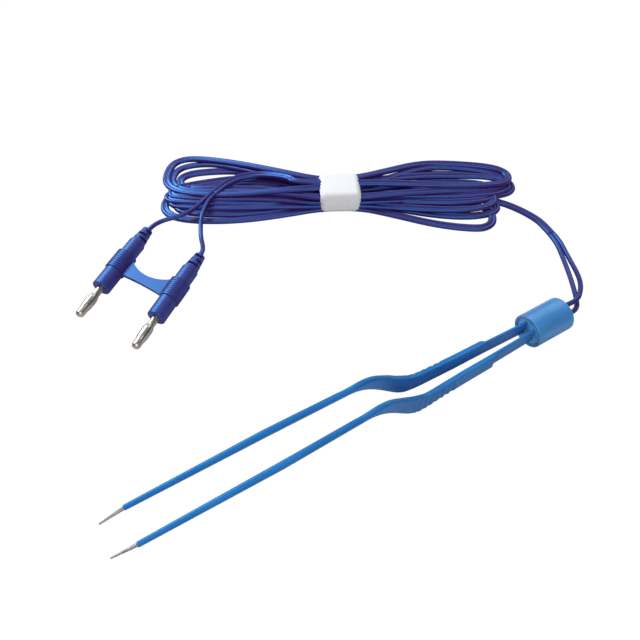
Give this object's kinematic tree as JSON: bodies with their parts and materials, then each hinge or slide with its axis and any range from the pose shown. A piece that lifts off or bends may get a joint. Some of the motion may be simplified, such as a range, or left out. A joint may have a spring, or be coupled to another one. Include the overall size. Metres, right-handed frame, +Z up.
{
  "type": "bipolar forceps",
  "caption": "Blue bayonet bipolar forceps with a clear blue cap, a twin cord wound in a paper band and a bridged two-pin plug.",
  "frame": {"origin": "centre of the forceps' bounding box on the surface, cord and plug left out", "axes": "+X along the forceps from its cap towards its tips, +Y towards the left arm, +Z up"},
  "size_m": [0.2244, 0.1755, 0.02],
  "materials": {
    "cap_plastic": "translucent light blue, polished",
    "potting_resin": "clear resin",
    "steel": "fine satin",
    "blue_coating": "insulating coating, semi-gloss",
    "solder": "bright, uneven",
    "cord_jacket": "soft satin jacket",
    "white_paper": "matte paper",
    "plug_moulding": "soft moulding, satin",
    "nickel_plate": "bright nickel"
  },
  "bodies": {
    "root": {"cap_shell": "cap_plastic", "cap_potting": "potting_resin", "left_lead": "cord_jacket", "right_lead": "cord_jacket", "cap_cord": "cord_jacket", "cord_hank": "cord_jacket", "tail_cord": "cord_jacket", "plug_lead_1": "cord_jacket", "plug_lead_2": "cord_jacket", "paper_band": "white_paper", "plug_bridge": "plug_moulding", "plug_body_1": "plug_moulding", "plug_body_2": "plug_moulding", "plug_pin_1": "nickel_plate", "plug_pin_2": "nickel_plate"},
    "left_arm": {"left_tine": "steel", "left_insulation": "blue_coating", "left_solder_joint": "solder"},
    "right_arm": {"right_tine": "steel", "right_insulation": "blue_coating", "right_solder_joint": "solder"}
  },
  "joints": [
    {"name": "left_arm_flex", "type": "hinge", "parent": "root", "child": "left_arm", "pos_m": [-0.07291, 0.0022, 0.00681], "axis": [-0.0585, 0, -0.9983], "range_deg": [0, 1.8], "stiffness_Nm_per_rad": 2},
    {"name": "right_arm_flex", "type": "hinge", "parent": "root", "child": "right_arm", "pos_m": [-0.07291, -0.0022, 0.00681], "axis": [0.0585, 0, 0.9983], "range_deg": [0, 1.8], "stiffness_Nm_per_rad": 2}
  ]
}
